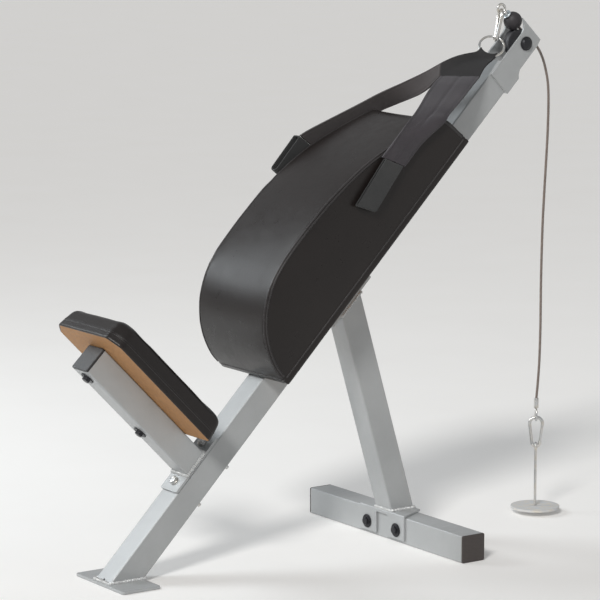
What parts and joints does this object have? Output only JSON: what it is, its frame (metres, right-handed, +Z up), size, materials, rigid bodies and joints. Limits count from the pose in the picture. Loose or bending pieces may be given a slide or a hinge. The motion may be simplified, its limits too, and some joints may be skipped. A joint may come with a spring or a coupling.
{
  "type": "ab and triceps bench",
  "caption": "Slanted square-tube bench with a tilted seat, a D-shaped back pad, a cable over a top pulley to a hanging weight pin, and a strap harness.",
  "frame": {"origin": "centre of the front foot plate's underside, on the floor", "axes": "+Z up, +X from the front foot to the rear stabiliser, +Y across the bench; Y = 0 is the frame's middle plane"},
  "size_m": [1.3398, 0.6086, 1.2447],
  "materials": {
    "paint": "silver-grey powder coat, satin",
    "vinyl": "black upholstery vinyl over foam, satin",
    "board": "raw plywood",
    "zinc": "bright zinc plate",
    "black_steel": "black oxide",
    "black_plastic": "moulded, matte",
    "cap_plastic": "moulded, matte",
    "rubber": "moulded rubber",
    "nylon": "moulded nylon",
    "cable": "coated wire rope",
    "webbing": "woven nylon webbing",
    "bronze": "sintered bush"
  },
  "bodies": {
    "frame": {"front_foot_plate": "paint", "main_beam": "paint", "seat_plate": "paint", "seat_tube": "paint", "seat_tube_cap": "black_plastic", "seat_board": "board", "seat_cushion": "vinyl", "seat_bolt_front": "black_steel", "seat_bolt_rear": "black_steel", "seat_plate_bolt_lower": "zinc", "seat_plate_bolt_upper": "zinc", "seat_plate_nut_lower": "zinc", "seat_plate_nut_upper": "zinc", "rear_leg": "paint", "leg_top_plate": "paint", "leg_bolt_lower": "black_steel", "leg_bolt_upper": "black_steel", "leg_weld_nut_lower": "zinc", "leg_weld_nut_upper": "zinc", "leg_saddle": "paint", "rear_stabiliser": "paint", "stabiliser_cap_near": "cap_plastic", "stabiliser_cap_far": "cap_plastic", "saddle_bolt_near": "black_steel", "saddle_bolt_far": "black_steel", "saddle_nut_near": "zinc", "saddle_nut_far": "zinc", "back_pad_board": "board", "back_pad_cushion": "vinyl", "pad_bolt_lower": "black_steel", "pad_bolt_upper": "black_steel", "bracket_cheek_near": "paint", "bracket_cheek_far": "paint", "bracket_web": "paint", "pulley_axle_bolt": "black_steel", "pulley_axle_nut": "zinc", "pulley_spacer_near": "zinc", "pulley_spacer_far": "zinc", "cable_over_pulley": "cable"},
    "pulley_wheel": {"pulley": "nylon", "pulley_bearing": "bronze"},
    "cable_load_end": {"hanging_cable": "cable", "cable_ferrule": "zinc", "cable_thimble": "zinc"},
    "rear_hook": {"rear_carabiner": "zinc"},
    "rear_hook_gate": {"rear_carabiner_gate": "zinc"},
    "weight_pin": {"loading_rod": "zinc", "loading_disc": "zinc"},
    "cable_pull_end": {"cable_end": "cable", "cable_eye": "zinc", "stop_washer": "zinc", "stop_ball": "rubber"},
    "front_hook": {"front_carabiner": "zinc"},
    "front_hook_gate": {"front_carabiner_gate": "zinc"},
    "harness": {"harness_yoke": "webbing", "near_strap": "webbing", "far_strap": "webbing", "near_handle_loop": "webbing", "far_handle_loop": "webbing"},
    "ring": {"harness_ring": "zinc"}
  },
  "joints": [
    {"name": "load_lift", "type": "slide", "parent": "frame", "child": "cable_load_end", "axis": [0, 0, 1], "range_m": [0, 0.35], "deforming": ["hanging_cable"]},
    {"name": "pulley_spin", "type": "hinge", "parent": "frame", "child": "pulley_wheel", "pos_m": [1.11186, 0, 1.14934], "axis": [0, 1, 0], "continuous": true},
    {"name": "harness_pull", "type": "slide", "parent": "frame", "child": "cable_pull_end", "axis": [-1, 0, 0], "range_m": [0, 0.35]},
    {"name": "rear_carabiner_swing", "type": "hinge", "parent": "cable_load_end", "child": "rear_hook", "pos_m": [1.18764, 0, 0.23595], "axis": [0.8236, -0.5671, 0], "range_deg": [-35, 35]},
    {"name": "rear_carabiner_gate_open", "type": "hinge", "parent": "rear_hook", "child": "rear_hook_gate", "pos_m": [1.1962, -0.00589, 0.17949], "axis": [-0.5671, -0.8236, 0], "range_deg": [0, 25], "stiffness_Nm_per_rad": 0.05, "springref_deg": -20.05},
    {"name": "weight_pin_swing", "type": "hinge", "parent": "rear_hook", "child": "weight_pin", "pos_m": [1.18764, 0, 0.16395], "axis": [0.8236, -0.5671, 0], "range_deg": [-35, 35]},
    {"name": "front_carabiner_swing", "type": "hinge", "parent": "cable_pull_end", "child": "front_hook", "pos_m": [1.06569, 0, 1.22815], "axis": [0, 1, 0], "range_deg": [0, 16]},
    {"name": "front_carabiner_gate_open", "type": "hinge", "parent": "front_hook", "child": "front_hook_gate", "pos_m": [1.05661, 0.0095, 1.17226], "axis": [0.889, -0.4051, -0.2134], "range_deg": [0, 25], "stiffness_Nm_per_rad": 0.05, "springref_deg": -20.05},
    {"name": "harness_swing", "type": "hinge", "parent": "front_hook", "child": "harness", "pos_m": [1.04889, 0, 1.15814], "axis": [0, 1, 0], "range_deg": [0, 19]},
    {"name": "ring_turn", "type": "hinge", "parent": "harness", "child": "ring", "pos_m": [1.03123, -0.00866, 1.14491], "axis": [-0.4223, -0.6133, 0.6675], "continuous": true}
  ],
  "couplings": [
    {"joint": "pulley_spin", "follows": "load_lift", "rad_per_m": -30.96},
    {"joint": "harness_pull", "follows": "load_lift", "ratio": 1}
  ]
}
